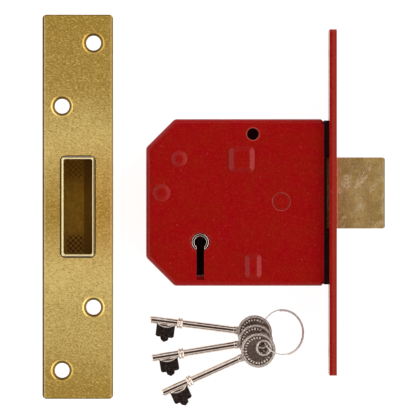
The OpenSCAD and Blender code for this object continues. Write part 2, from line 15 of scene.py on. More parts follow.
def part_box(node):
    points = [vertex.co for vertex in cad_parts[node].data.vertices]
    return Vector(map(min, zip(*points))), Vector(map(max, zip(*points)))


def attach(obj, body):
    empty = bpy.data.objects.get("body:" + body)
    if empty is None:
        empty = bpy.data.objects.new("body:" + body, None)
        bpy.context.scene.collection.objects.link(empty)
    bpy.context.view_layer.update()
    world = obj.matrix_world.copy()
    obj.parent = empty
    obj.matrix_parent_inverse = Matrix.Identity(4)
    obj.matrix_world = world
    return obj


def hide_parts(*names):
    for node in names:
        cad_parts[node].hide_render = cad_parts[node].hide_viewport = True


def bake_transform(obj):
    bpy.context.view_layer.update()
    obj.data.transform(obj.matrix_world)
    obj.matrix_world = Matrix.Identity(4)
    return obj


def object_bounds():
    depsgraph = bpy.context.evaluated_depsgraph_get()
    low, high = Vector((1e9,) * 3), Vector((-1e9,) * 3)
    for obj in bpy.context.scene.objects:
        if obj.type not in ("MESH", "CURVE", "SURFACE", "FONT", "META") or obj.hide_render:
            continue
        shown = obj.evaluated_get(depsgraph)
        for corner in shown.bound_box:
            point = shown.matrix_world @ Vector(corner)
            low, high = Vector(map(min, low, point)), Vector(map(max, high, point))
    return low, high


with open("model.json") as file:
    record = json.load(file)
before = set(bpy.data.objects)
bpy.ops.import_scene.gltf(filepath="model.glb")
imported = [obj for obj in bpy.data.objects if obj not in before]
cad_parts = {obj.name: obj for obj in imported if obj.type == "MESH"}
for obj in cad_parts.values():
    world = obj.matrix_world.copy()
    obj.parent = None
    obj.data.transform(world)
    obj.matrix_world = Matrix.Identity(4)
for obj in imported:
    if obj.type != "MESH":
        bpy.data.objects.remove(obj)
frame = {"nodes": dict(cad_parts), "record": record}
cad_box = [[float(c) for c in corner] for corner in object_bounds()]
nodes = frame["nodes"]
record = frame["record"]
MM = 0.001
FURNITURE_HOLE = next(m for m in record["mounts"] if m["name"] == "furniture_hole")


def box_mm(name):
    """A CAD node's lowest and highest corners at rest, in millimetres."""
    return [[c / MM for c in corner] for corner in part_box(name)]


# ---------------------------------------------------------------- node helpers

class Nodes:
    """A node tree, with one short method for each kind of node that both the materials and the sky need."""

    def __init__(self, tree):
        self.tree = tree

    def node(self, kind, inputs=None, **settings):
        n = self.tree.nodes.new(kind)
        for key, value in settings.items():
            setattr(n, key, value)
        for key, value in (inputs or {}).items():
            self.put(n.inputs[key], value)
        return n

    def put(self, socket, value):
        if isinstance(value, bpy.types.NodeSocket):
            self.tree.links.new(value, socket)
        else:
            socket.default_value = value

    def ramp(self, fac, low, high, out_low=0.0, out_high=1.0):
        """fac from low to high, mapped to out_low to out_high, held at both ends and smooth between."""
        return self.node("ShaderNodeMapRange", {"Value": fac, "From Min": low, "From Max": high,
            "To Min": out_low, "To Max": out_high}, interpolation_type="SMOOTHSTEP").outputs[0]

    def math(self, kind, a, b=0.0):
        n = self.node("ShaderNodeMath", operation=kind)
        self.put(n.inputs[0], a)
        self.put(n.inputs[1], b)
        return n.outputs[0]

    def times(self, a, b):
        return self.math("MULTIPLY", a, b)

    def off(self, value, centre):
        """How far value lies from centre, on either side."""
        return self.math("ABSOLUTE", self.math("SUBTRACT", value, centre))

    def dot(self, a, b):
        return self.node("ShaderNodeVectorMath", {0: a, 1: b}, operation="DOT_PRODUCT").outputs["Value"]

    def fade(self, fac, a, b):
        """The number a where fac is 0, and b where it is 1."""
        return self.node("ShaderNodeMix", {"Factor": fac, "A": a, "B": b}, data_type="FLOAT").outputs[0]

    def mix(self, fac, a, b):
        """The colour a where fac is 0, and b where it is 1."""
        n = self.node("ShaderNodeMix", data_type="RGBA")
        self.put(n.inputs["Factor"], fac)
        for socket, value in ((n.inputs[6], a), (n.inputs[7], b)):
            self.put(socket, value if isinstance(value, bpy.types.NodeSocket) else (*value, 1))
        return n.outputs[2]

    def part(self, vector, name):
        return self.node("ShaderNodeSeparateXYZ", {"Vector": vector}).outputs[name]


class Shader(Nodes):
    """A material whose patterns are laid out in object coordinates, in millimetres."""

    def __init__(self, name):
        self.material = bpy.data.materials.new(name)
        self.material.use_nodes = True
        super().__init__(self.material.node_tree)
        self.bsdf = self.tree.nodes["Principled BSDF"]
        self.coords = self.tree.nodes.new("ShaderNodeTexCoord").outputs["Object"]

    def mapped(self, scale=(1, 1, 1), turn=(0, 0, 0)):
        """Object coordinates in millimetres, stretched by scale after a turn in degrees."""
        angles = [radians(a) for a in turn]
        turned = self.node("ShaderNodeMapping", {"Vector": self.coords, "Rotation": angles})
        size = [s / MM for s in scale]
        return self.node("ShaderNodeMapping", {"Vector": turned.outputs[0], "Scale": size}).outputs[0]

    def noise(self, scale, detail, rough, where=None, distort=0.0):
        return self.node("ShaderNodeTexNoise", {"Vector": where or self.mapped(), "Scale": scale,
            "Detail": detail, "Roughness": rough, "Distortion": distort}).outputs["Fac"]

    def cells(self, scale):
        inputs = {"Vector": self.mapped(), "Scale": scale}
        return self.node("ShaderNodeTexVoronoi", inputs).outputs["Distance"]

    def axis(self, name):
        return self.part(self.mapped(), name)

    def band(self, fac, middle, half, soft):
        """1 within half of middle, falling to 0 over soft beyond."""
        return self.ramp(self.off(fac, middle), half, half + soft, 1.0, 0.0)

    def edges(self, radius):
        """1 on edges, 0 on flats, from how far a rounded normal leans from the true one."""
        soft = self.node("ShaderNodeBevel", {"Radius": radius * MM}, samples=6).outputs[0]
        true = self.node("ShaderNodeNewGeometry").outputs["Normal"]
        return self.ramp(self.math("SUBTRACT", 1.0, self.dot(soft, true)), 0.02, 0.25)

    def bump(self, height, strength, distance, after=None):
        n = self.node("ShaderNodeBump", {"Height": height, "Strength": strength, "Distance": distance * MM})
        if after is not None:
            self.put(n.inputs["Normal"], after)
        return n.outputs[0]

    def finish(self, color, roughness, normal, metallic=0.0, specular=0.5):
        """Sets the shader's own sockets, and gives the material."""
        for key, value in (("Base Color", color), ("Roughness", roughness), ("Normal", normal),
                           ("Metallic", metallic), ("Specular IOR Level", specular)):
            self.put(self.bsdf.inputs[key], value)
        return self.material


# ---------------------------------------------------------------- where each key lies

def node_middle(name):
    points = [v.co for v in nodes[name].data.vertices]
    return sum(points, Vector()) / len(points)


def key_frame(k):
    """The key's own frame: bow hole at the origin, tip towards -X, its two faces towards +Z and -Z."""
    joint = next(j for j in record["behaviour"]["joints"] if j["name"] == f"key_{k}_swing")
    hole, up = Vector(joint["pos_m"]), Vector(joint["axis"]).normalized()
    back = (hole - node_middle(f"key_{k}_shank")).normalized()
    side = up.cross(back).normalized()
    turn = Matrix((side.cross(up), side, up)).transposed().to_4x4()
    return Matrix.Translation(hole) @ turn


KEYS = {str(k): key_frame(k) for k in (1, 2, 3)}


# ---------------------------------------------------------------- materials

def ring_mark(s, centre, radius, half, soft):
    """1 on a circle round a point of the face, in millimetres, and 0 away from it."""
    x, y = (s.math("SUBTRACT", s.axis(axis), c) for axis, c in zip("XY", centre))
    away = s.math("SQRT", s.math("ADD", s.times(x, x), s.times(y, y)))
    return s.band(away, radius, half, soft)


def red_paint(name="red_enamel", worn=False):
    """Red enamel with painted sheen along its rounded edges. On the face, painted highlights round the
    furniture hole and the rivet; on the forend, worn brown along the joint of its two strips.
    """
    s = Shader(name)
    cloud = s.noise(0.11, 4, 0.6)
    color = s.mix(s.ramp(cloud, 0.35, 0.65), (0.31, 0.002, 0.004), (0.29, 0.0058, 0.0026))
    fine = s.noise(2.2, 3, 0.7)
    color = s.mix(s.ramp(fine, 0.5, 0.8, 0.0, 0.35), color, (0.4, 0.012, 0.011))
    # Painted sheen: a lighter red along the rounded edges.
    edge = s.edges(0.9)
    patchy = s.ramp(s.noise(0.35, 3, 0.6), 0.3, 0.65, 0.15, 0.6)
    color = s.mix(s.times(edge, patchy), color, (0.34, 0.022, 0.014))
    specks = s.cells(0.2)
    color = s.mix(s.ramp(specks, 0.03, 0.09, 0.35, 0.0), color, (0.5, 0.1, 0.09))
    sand = s.noise(1.6, 2, 0.7)
    color = s.mix(s.ramp(sand, 0.52, 0.68, 0.0, 0.45), color, (0.2, 0.003, 0.002))
    color = s.mix(s.ramp(sand, 0.48, 0.32, 0.0, 0.6), color, (0.38, 0.018, 0.01))
    if worn:
        seam = box_mm("forend_outer")[0][0]
        x, ragged = s.axis("X"), s.ramp(s.noise(0.5, 3, 0.7), 0.3, 0.6, 0.35, 0.9)
        color = s.mix(s.ramp(x, seam - 0.1, seam + 0.3, 0.0, 0.8), color, (0.34, 0.024, 0.016))
        rubbed = s.times(s.band(x, seam + 0.05, 0.3, 0.3), ragged)
        color = s.mix(rubbed, color, (0.27, 0.04, 0.018))
    else:
        # Painted highlights: pale rings on the rims of the furniture hole and the rivet.
        hole_at = [c / MM for c in FURNITURE_HOLE["pos_m"][:2]]
        hole = ring_mark(s, hole_at, FURNITURE_HOLE["dims"]["r_mm"] + 0.15, 0.12, 0.3)
        low, high = box_mm("plate_rivets")
        rivet_r = (high[1] - low[1]) / 2
        rivet = ring_mark(s, (high[0] - rivet_r, high[1] - rivet_r), rivet_r + 0.35, 0.05, 0.2)
        ragged = s.ramp(s.noise(0.6, 2, 0.6), 0.3, 0.6, 0.25, 0.65)
        color = s.mix(s.times(s.math("MAXIMUM", hole, rivet), ragged), color, (0.45, 0.09, 0.07))
    peel = s.noise(1.1, 2, 0.5)
    dust = s.noise(7.0, 2, 0.6)
    normal = s.bump(peel, 0.15, 0.05)
    normal = s.bump(dust, 0.1, 0.02, normal)
    rough = s.ramp(fine, 0.3, 0.7, 0.18, 0.26)
    return s.finish(color, rough, normal, specular=0.16)


def keep_reflection_bands(s):
    """Painted reflection along the keep's plate, from its lower to its upper end: broad bright and dull bands.
    """
    low, high = box_mm("keep_plate")
    way = s.ramp(s.axis("Y"), low[1], high[1])
    way.node.interpolation_type = "LINEAR"
    wavy = s.math("ADD", way, s.ramp(s.noise(0.02, 3, 0.5), 0.3, 0.7, -0.03, 0.03))
    n = s.node("ShaderNodeValToRGB", {"Fac": wavy})
    n.color_ramp.interpolation = "EASE"
    bands = [(0.0, 0.05), (0.16, 0.62), (0.32, 1.0), (0.5, 0.02), (0.66, 0.9), (0.82, 0.12), (1.0, 0.02)]
    stops = n.color_ramp.elements
    while len(stops) < len(bands):
        stops.new(0.5)
    for stop, (place, shine) in zip(stops, bands):
        stop.position = place
        stop.color = (shine, shine, shine, 1)
    return n.outputs["Color"]


def keep_brass():
    """Rolled brass plate: mottled, with painted reflection in broad bands, warmer in the middle, with painted
    shade and painted highlights along its long edges, darker lines at its ends, and painted shade down in its
    holes.
    """
    s = Shader("satin_brass")
    low, high = box_mm("keep_plate")
    middle_x, middle_y = (low[0] + high[0]) / 2, (low[1] + high[1]) / 2
    slot_half_x, slot_half_y = 8.5, 24
    x, y, z = s.axis("X"), s.axis("Y"), s.axis("Z")
    mottle = s.noise(1.5, 3, 0.7, s.mapped((0.7, 1.3, 1.0), (0, 0, 12)))
    grain = s.noise(2.8, 2, 0.7)
    cloud = s.noise(0.09, 4, 0.6)
    # Painted reflection: broad bright and dull bands along the plate.
    color = s.mix(keep_reflection_bands(s), (0.53, 0.34, 0.058), (1.0, 0.79, 0.29))
    color = s.mix(s.ramp(cloud, 0.35, 0.7, 0.0, 0.25), color, (0.66, 0.41, 0.09))
    warm = s.times(s.band(y, middle_y, 12, 22), s.ramp(x, low[0], high[0], 0.1, 0.55))
    color = s.mix(warm, color, (0.72, 0.38, 0.07))
    color = s.mix(s.ramp(mottle, 0.5, 0.68, 0.0, 0.6), color, (1.0, 0.77, 0.3))
    color = s.mix(s.ramp(mottle, 0.5, 0.32, 0.0, 0.5), color, (0.42, 0.24, 0.045))
    color = s.mix(s.ramp(grain, 0.5, 0.68, 0.0, 0.35), color, (0.36, 0.2, 0.035))
    # Painted shade and highlights on the bevelled long edges: dark and bright lines at the left, olive and
    # orange at the right.
    for place, half, strength, tone in (
            (low[0] + 0.25, 0.25, 0.85, (0.1, 0.05, 0.012)),
            (low[0] + 0.95, 0.1, 0.5, (1.0, 0.82, 0.42)),
            (high[0] - 0.2, 0.2, 0.7, (0.3, 0.19, 0.03)),
            (high[0] - 0.8, 0.12, 0.55, (1.0, 0.7, 0.3))):
        color = s.mix(s.times(s.band(x, place, half, 0.3), strength), color, tone)
    for end in (low[1], high[1]):
        color = s.mix(s.times(s.band(y, end, 0.3, 0.3), 0.6), color, (0.14, 0.08, 0.015))
    # Painted shade in the groove round the box's opening and down the countersunk holes.
    groove = s.times(s.ramp(z, high[2] - 0.12, high[2] - 0.4), s.band(x, middle_x, slot_half_x, 0.2))
    groove = s.times(groove, s.band(y, middle_y, slot_half_y, 0.2))
    sunk = s.math("MAXIMUM", groove, s.ramp(z, high[2] - 0.5, high[2] - 0.8))
    color = s.mix(s.times(sunk, 0.93), color, (0.12, 0.062, 0.012))
    rough = s.ramp(mottle, 0.3, 0.75, 0.48, 0.62)
    normal = s.bump(mottle, 0.4, 0.06)
    normal = s.bump(grain, 0.4, 0.03, normal)
    return s.finish(color, rough, normal, metallic=1.0)


def box_brass():
    """The keep's box: its rim bright, partly a cut edge and partly painted highlight, with painted shade just
    outside it; a dark olive inside, with painted shade deepening downwards and a painted shadow band along the
    +X wall, darker towards both ends; and lozenges at both ends of its floor.
    """
    s = Shader("box_brass")
    low, high = box_mm("keep_box")
    middle_x, middle_y = (low[0] + high[0]) / 2, (low[1] + high[1]) / 2
    half_w, half_h = (high[0] - low[0]) / 2, (high[1] - low[1]) / 2
    lip_shift, shade_w = 0.12, 5
    lozenge_x, lozenge_y = 5.6, 5.2
    x, y, z = s.axis("X"), s.axis("Y"), s.axis("Z")
    rim = s.ramp(z, high[2] - 0.5, high[2] - 0.2)
    deep = s.ramp(z, high[2] - 12, high[2] - 1)
    mottle = s.noise(0.7, 4, 0.7)
    color = s.mix(s.ramp(mottle, 0.3, 0.7), (0.5, 0.33, 0.05), (0.72, 0.52, 0.095))
    floor = s.ramp(z, low[2] + 2.5, low[2] + 1.5)
    ends = s.ramp(s.off(y, middle_y), 6, 17)
    color = s.mix(s.times(ends, 0.5), color, (0.36, 0.2, 0.03))
    lozenge = s.node("ShaderNodeTexChecker", {"Vector": s.mapped((1, 1, 0)), "Scale": 0.9,
        "Color1": (1, 1, 1, 1), "Color2": (0, 0, 0, 1)}).outputs["Fac"]
    for end, strength in ((low[1] + lozenge_y, 0.85), (high[1] - lozenge_y, 0.45)):
        spot = s.times(s.band(y, end, 2.6, 2.2), s.band(x, low[0] + lozenge_x, 2.8, 1.4))
        spot = s.times(s.times(spot, floor), s.times(lozenge, strength))
        color = s.mix(spot, color, (0.12, 0.05, 0.02))
    shade = s.times(floor, s.ramp(x, high[0] - shade_w - 0.2, high[0] - shade_w + 0.2))
    color = s.mix(s.times(shade, 0.75), color, (0.2, 0.1, 0.016))
    # Painted shade: the walls lighter near the top and darker deeper down.
    color = s.mix(s.times(deep, 0.3), color, (0.8, 0.55, 0.12))
    # The rim: bright at its inner edge, partly a cut edge and partly painted highlight; dark at its outer
    # edge, painted shade.
    out_y = s.math("SUBTRACT", s.off(y, middle_y), half_h - half_w)
    out = s.math("MAXIMUM", s.off(x, middle_x - lip_shift), out_y)
    lip = s.mix(s.ramp(out, half_w - 0.55, half_w - 0.35), (0.93, 0.81, 0.47), (0.14, 0.085, 0.015))
    color = s.mix(rim, color, lip)
    rough = s.ramp(mottle, 0.3, 0.7, 0.5, 0.65)
    return s.finish(color, rough, s.bump(mottle, 0.25, 0.04), metallic=0.4)


def bolt_brass():
    """Cast brass, dressed on a slant: streaked, scratched and patchy, with a painted pinkish highlight next to
    the forend, and painted shade and a painted highlight on the tip's rounded edge.
    """
    s = Shader("worn_brass")
    tip = box_mm("bolt_head")[1][0]
    forend = box_mm("forend_outer")[1][0]
    x = s.axis("X")
    broad = s.noise(0.11, 4, 0.6, s.mapped((1, 1, 1), (0, 0, 30)), 1.2)
    streak = s.noise(0.55, 5, 0.8, s.mapped((0.5, 1.0, 1.0), (0, 0, -52)), 0.8)
    scratch = s.noise(2.4, 3, 0.75, s.mapped((0.35, 1.3, 1.0), (0, 0, -58)))
    grain = s.noise(1.7, 3, 0.7)
    specks = s.cells(0.7)
    color = s.mix(s.ramp(broad, 0.3, 0.7), (0.5, 0.31, 0.1), (0.68, 0.46, 0.18))
    color = s.mix(s.ramp(streak, 0.5, 0.72, 0.0, 0.85), color, (0.92, 0.68, 0.38))
    color = s.mix(s.ramp(scratch, 0.6, 0.74, 0.0, 0.6), color, (0.95, 0.74, 0.42))
    patch = s.ramp(s.noise(0.13, 2, 0.5, s.mapped((1.6, 0.8, 1), (0, 0, 24)), 0.6), 0.5, 0.62)
    flecks = s.ramp(s.noise(1.3, 4, 0.8), 0.42, 0.6, 0.1, 0.9)
    color = s.mix(s.times(patch, flecks), color, (1.0, 0.8, 0.52))
    color = s.mix(s.ramp(grain, 0.5, 0.7, 0.0, 0.6), color, (0.24, 0.15, 0.03))
    color = s.mix(s.ramp(grain, 0.48, 0.3, 0.0, 0.5), color, (0.72, 0.56, 0.36))
    color = s.mix(s.ramp(x, tip - 10, tip, 0.0, 0.35), color, (0.42, 0.29, 0.06))
    color = s.mix(s.ramp(specks, 0.06, 0.16, 0.8, 0.0), color, (1.0, 0.88, 0.6))
    # Painted highlight: a pinkish line on the bolt next to the forend.
    color = s.mix(s.times(s.band(x, forend + 0.25, 0.2, 0.25), 0.75), color, (0.95, 0.5, 0.28))
    # Painted shade and painted highlight on the tip's rounded edge: a dark line along it, a bright line just
    # inside.
    color = s.mix(s.times(s.band(x, tip, 0.25, 0.3), 0.6), color, (0.2, 0.13, 0.025))
    color = s.mix(s.times(s.band(x, tip - 0.7, 0.1, 0.25), 0.5), color, (0.95, 0.75, 0.4))
    rough = s.ramp(streak, 0.35, 0.7, 0.55, 0.42)
    normal = s.bump(scratch, 0.5, 0.05)
    normal = s.bump(s.noise(1.8, 4, 0.7), 0.3, 0.05, normal)
    return s.finish(color, rough, normal, metallic=1.0)


def metal(name, light, dark, rough, grain=(1, 1, 1), scale=1.2):
    """Plain metal with a drawn or cast grain; grain is the stretch of its noise along each axis."""
    s = Shader(name)
    streak = s.noise(scale, 4, 0.65, s.mapped(grain))
    blotch = s.noise(scale * 0.2, 3, 0.6)
    color = s.mix(s.ramp(streak, 0.3, 0.7), dark, light)
    color = s.mix(s.ramp(blotch, 0.35, 0.7, 0.0, 0.5), color, dark)
    color = s.mix(s.times(s.edges(0.3), 0.6), color, light)
    normal = s.bump(streak, 0.2, 0.04)
    return s.finish(color, s.ramp(blotch, 0.3, 0.7, *rough), normal, metallic=1.0)


def black_steel():
    """Near-black steel as painted shade, as on the bracket in the shaded gap between case and forend; a little
    lighter along its edges.
    """
    s = Shader("near_black_painted_shade")
    mottle = s.noise(0.8, 4, 0.7)
    # Painted shade: near black.
    color = s.mix(s.ramp(mottle, 0.35, 0.7), (0.006, 0.001, 0.002), (0.016, 0.003, 0.005))
    color = s.mix(s.times(s.edges(0.4), 0.5), color, (0.09, 0.04, 0.035))
    return s.finish(color, s.ramp(mottle, 0.3, 0.7, 0.45, 0.65), s.bump(mottle, 0.3, 0.05), specular=0.12)


def key_bow(k):
    """Stamped nickel bow: sunk faces coloured dark as painted reflection, raised rims and neck worn bright."""
    s = Shader(f"dark_nickel_{k}")
    place = KEYS[k]
    at = s.node("ShaderNodeVectorMath", {0: s.coords, 1: place.translation}, operation="SUBTRACT").outputs[0]
    lift = s.math("ABSOLUTE", s.dot(at, place.col[2].to_3d()))
    along = s.dot(at, place.col[0].to_3d())
    rims = s.ramp(lift, 0.43 * MM, 0.54 * MM)
    neck = s.ramp(along, -9.6 * MM, -9.9 * MM)
    raised = s.math("MAXIMUM", rims, neck)
    mottle = s.noise(1.4, 5, 0.7)
    swirl = s.noise(0.25, 3, 0.6, distort=1.5)
    # Painted dark reflection: the bow's faces coloured darker than its nickel.
    color = s.mix(s.ramp(mottle, 0.3, 0.7), (0.2, 0.14, 0.108), (0.36, 0.275, 0.225))
    color = s.mix(s.ramp(swirl, 0.35, 0.7, 0.0, 0.6), color, (0.45, 0.36, 0.305))
    worn = s.mix(s.ramp(mottle, 0.35, 0.65), (0.56, 0.49, 0.44), (0.86, 0.79, 0.72))
    color = s.mix(s.times(raised, 0.9), color, worn)
    color = s.mix(s.times(s.edges(0.3), 0.7), color, (0.7, 0.64, 0.6))
    rough = s.ramp(mottle, 0.3, 0.7, 0.28, 0.45)
    return s.finish(color, rough, s.bump(mottle, 0.35, 0.05), metallic=s.ramp(raised, 0.0, 1.0, 1.0, 0.45))


def nickel():
    """Bright plating over a turned shank: nearly a mirror, with faint turning lines and a few dull spots."""
    s = Shader("nickel_plate")
    cloud = s.noise(0.5, 3, 0.6)
    fine = s.noise(3.0, 3, 0.6)
    spots = s.cells(0.7)
    color = s.mix(s.ramp(cloud, 0.3, 0.7), (0.7, 0.58, 0.51), (0.9, 0.79, 0.71))
    color = s.mix(s.ramp(spots, 0.05, 0.14, 0.5, 0.0), color, (0.4, 0.31, 0.26))
    color = s.mix(s.times(s.edges(0.3), 0.4), color, (0.88, 0.82, 0.76))
    return s.finish(color, s.ramp(cloud, 0.3, 0.7, 0.06, 0.12), s.bump(fine, 0.02, 0.01), metallic=1.0)


def key_bit():
    """Near-black steel as painted dark reflection, bright along its edges."""
    s = Shader("steel_with_painted_dark_reflection")
    mottle = s.noise(1.2, 4, 0.7)
    # Painted dark reflection: the bit coloured near black.
    color = s.mix(s.ramp(mottle, 0.35, 0.7), (0.022, 0.015, 0.013), (0.1, 0.072, 0.06))
    color = s.mix(s.times(s.edges(0.25), 0.8), color, (0.3, 0.25, 0.22))
    return s.finish(color, s.ramp(mottle, 0.3, 0.7, 0.3, 0.5), s.bump(mottle, 0.3, 0.04), metallic=0.9)


STEEL = ((0.55, 0.55, 0.56), (0.38, 0.38, 0.39))
MATERIALS = {
    "red_paint": red_paint(),
    "keep_brass": keep_brass(),
    "box_brass": box_brass(),
    "bolt_brass": bolt_brass(),
    "lever_brass": metal("stamped_brass", (0.66, 0.46, 0.18), (0.5, 0.33, 0.11), (0.25, 0.4), (1, 8, 8), 0.6),
    "nickel": nickel(),
    "steel": metal("zinc_steel", *STEEL, (0.3, 0.45)),
    "spring_steel": metal("spring_steel", (0.4, 0.4, 0.42), (0.25, 0.25, 0.27), (0.2, 0.35)),
    "ring_steel": metal("ring_steel", (0.95, 0.88, 0.84), (0.75, 0.68, 0.64), (0.5, 0.65), (1, 1, 1), 2.0),
    "black_steel": black_steel(),
    "key_bit": key_bit(),
}
BOWS = {k: key_bow(k) for k in KEYS}
FOREND_PAINT = red_paint("forend_enamel", worn=True)


# ---------------------------------------------------------------- CAD nodes: smooth shading, edges, material

def smoothing_group():
    """Geometry nodes that drop stored normals, join split vertices, and shade smooth up to sharp edges."""
    g = bpy.data.node_groups.new("smooth_shells", "GeometryNodeTree")
    g.interface.new_socket("Geometry", in_out="INPUT", socket_type="NodeSocketGeometry")
    g.interface.new_socket("Geometry", in_out="OUTPUT", socket_type="NodeSocketGeometry")
    n = g.nodes.new
    start, end = n("NodeGroupInput"), n("NodeGroupOutput")
    bare = n("GeometryNodeRemoveAttribute")
    bare.inputs["Name"].default_value = "custom_normal"
    merge = n("GeometryNodeMergeByDistance")
    merge.inputs["Distance"].default_value = 2e-6
    smooth = n("GeometryNodeSetShadeSmooth")
    sharp = n("GeometryNodeSetShadeSmooth")
    sharp.domain = "EDGE"
    sharp.inputs["Shade Smooth"].default_value = False
    angle = n("GeometryNodeInputMeshEdgeAngle")
    over = n("FunctionNodeCompare")
    over.data_type, over.operation = "FLOAT", "GREATER_THAN"
    over.inputs[1].default_value = radians(20)
    link = g.links.new
    link(start.outputs[0], bare.inputs["Geometry"])
    link(bare.outputs["Geometry"], merge.inputs["Geometry"])
    link(merge.outputs["Geometry"], smooth.inputs["Geometry"])
    link(smooth.outputs["Geometry"], sharp.inputs["Geometry"])
    link(angle.outputs["Unsigned Angle"], over.inputs[0])
    link(over.outputs["Result"], sharp.inputs["Selection"])
    link(sharp.outputs["Geometry"], end.inputs[0])
    return g


SMOOTH = smoothing_group()
EDGE_ROUND = {"case_face": 0.18, "case_cap": 0.25, "forend_outer": 0.3, "forend_inner": 0.3,
    "bolt_head": 0.45, "keep_plate": 0.3, "keep_box": 0.2, "front_bracket": 0.15, "curtain": 0.3,
    "split_ring": 0, **{f"key_{k}_bow": 0.22 for k in KEYS}}
FINE_ROUND = 0.1
LEAF_ROUND = 0.05


def look_of(name, slot):
    """The material for one node: the bows have one each, since each key lies at its own angle."""
    if slot == "key_bow":
        return BOWS[name.split("_")[1]]
    return FOREND_PAINT if name in ("forend_outer", "forend_inner") else MATERIALS[slot]


def soften(o, width):
    """Joins a CAD mesh's shells, clears its flats and rounds its edges by width, all as modifiers."""
    tidy = o.modifiers.new("smooth", "NODES")
    tidy.node_group = SMOOTH
    flat = o.modifiers.new("flats", "DECIMATE")
    flat.decimate_type = "DISSOLVE"
    flat.angle_limit = radians(1)
    if width:
        bevel = o.modifiers.new("edges", "BEVEL")
        bevel.width = width * MM
        bevel.segments = 3
        bevel.limit_method = "ANGLE"
        bevel.angle_limit = radians(24)
        bevel.harden_normals = True
        bevel.miter_outer = "MITER_ARC"


def dress(name):
    """Rounded edges and the slot's material for one CAD node."""
    o = nodes[name]
    slot = next(p["material_slot"] for p in record["subparts"] if p["node"] == name)
    o.data.materials.clear()
    o.data.materials.append(look_of(name, slot))
    soften(o, EDGE_ROUND.get(name, FINE_ROUND))


for name in nodes:
    dress(name)
# The keys lie close to these, and their bright plating would mirror them in red and brass.
for name in ("case_wall", "case_face", "keep_plate"):
    nodes[name].visible_glossy = False


# ---------------------------------------------------------------- pieces that CAD leaves out or keeps plain

def make_piece(name, mesh, body, slot, material=None):
    """A new object riding on a body, with the slot's material unless another is given."""
    mesh.update()
    piece = bpy.data.objects.new(name, mesh)
    bpy.context.scene.collection.objects.link(piece)
    mesh.materials.append(material or MATERIALS[slot])
    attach(piece, body)
    return piece


def smooth_mesh(name, bm):
    """The finished bmesh as a mesh that shades smooth."""
    for face in bm.faces:
        face.smooth = True
    mesh = bpy.data.meshes.new(name)
    bm.to_mesh(mesh)
    bm.free()
    return mesh


def bridge(bm, rows):
    """Faces all the way round, between each row of vertices and the next."""
    for a, b in zip(rows, rows[1:]):
        for j in range(len(a)):
            after = (j + 1) % len(a)
            bm.faces.new((a[j], a[after], b[after], b[j]))


def fan(bm, row, tip):
    """Faces from a row of vertices to one point."""
    end = bm.verts.new(tip)
    for j in range(len(row)):
        bm.faces.new((row[j], row[(j + 1) % len(row)], end))


def angles_round(sides):
    return [2 * pi * j / sides for j in range(sides)]


def sweep_wire(name, path, radius, sides=12):
    """A round wire along a list of points, with pointed ends."""
    bm = bmesh.new()
    rows = []
    last = len(path) - 1
    for i, point in enumerate(path):
        along = (path[min(i + 1, last)] - path[max(i - 1, 0)]).normalized()
        out = along.cross(Vector((0, 0, 1))).normalized()
        up = out.cross(along)
        around = [point + radius * (out * cos(t) + up * sin(t)) for t in angles_round(sides)]
        rows.append([bm.verts.new(p) for p in around])
    bridge(bm, rows)
    fan(bm, rows[0], path[0] + (path[0] - path[1]))
    fan(bm, rows[-1], path[-1] + (path[-1] - path[-2]))
    bmesh.ops.recalc_face_normals(bm, faces=bm.faces)
    return smooth_mesh(name, bm)


def make_split_ring():
    """One and a half turns of wire, doubled on the ring's right side, in place of the CAD's plain ring.

    Angles are in degrees, from +X towards +Y. The wire is under the bows at one angle and over them at the
    other, climbs through their holes between the two, and sinks slowly back round the rest of the ring. Where
    the wire is doubled, its turns lie side by side.
    """
    low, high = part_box("split_ring")
    cad_wire = 0.5 * MM
    wire = 0.27 * MM
    middle_x, middle_y = (low[0] + high[0]) / 2, (low[1] + high[1]) / 2
    half_x, half_y = (high[0] - low[0]) / 2 - cad_wire, (high[1] - low[1]) / 2 - cad_wire
    first, last = 98, -75
    double = first - last
    under_at, over_at = 155, 245
    steps = 178
    path = []
    for i in range(steps + 1):
        turn = (double + 360) * i / steps
        angle = (first - turn) % 360
        lag = min(max((turn - double) / (360 - double), 0), 1)
        aside = (cad_wire - wire) * (2 * lag * lag * (3 - 2 * lag) - 1)
        if under_at < angle < over_at:
            up = (1 - cos(pi * (angle - under_at) / (over_at - under_at))) / 2
        else:
            up = (1 + cos(pi * ((angle - over_at) % 360) / (360 - over_at + under_at))) / 2
        z = low[2] + cad_wire + (high[2] - low[2] - 2 * cad_wire) * up
        path.append(Vector((middle_x + (half_x + aside) * cos(radians(angle)),
            middle_y + (half_y + aside) * sin(radians(angle)), z - aside / 3)))
    piece = make_piece("coiled_ring", sweep_wire("coiled_ring", path, wire), "key_ring", "ring_steel")
    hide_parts("split_ring")


def dome(bm, place, half, height, rings=3, sides=12):
    """A low oval bead on the plane through the place's origin, half as long and wide as half says."""
    rows = []
    for i in range(rings):
        t = pi / 2 * i / rings
        half_l, half_w, z = half[0] * cos(t), half[1] * cos(t), height * sin(t)
        around = [Vector((half_l * cos(u), half_w * sin(u), z)) for u in angles_round(sides)]
        rows.append([bm.verts.new(place @ p) for p in around])
    bridge(bm, rows)
    fan(bm, rows[-1], place @ Vector((0, 0, height)))


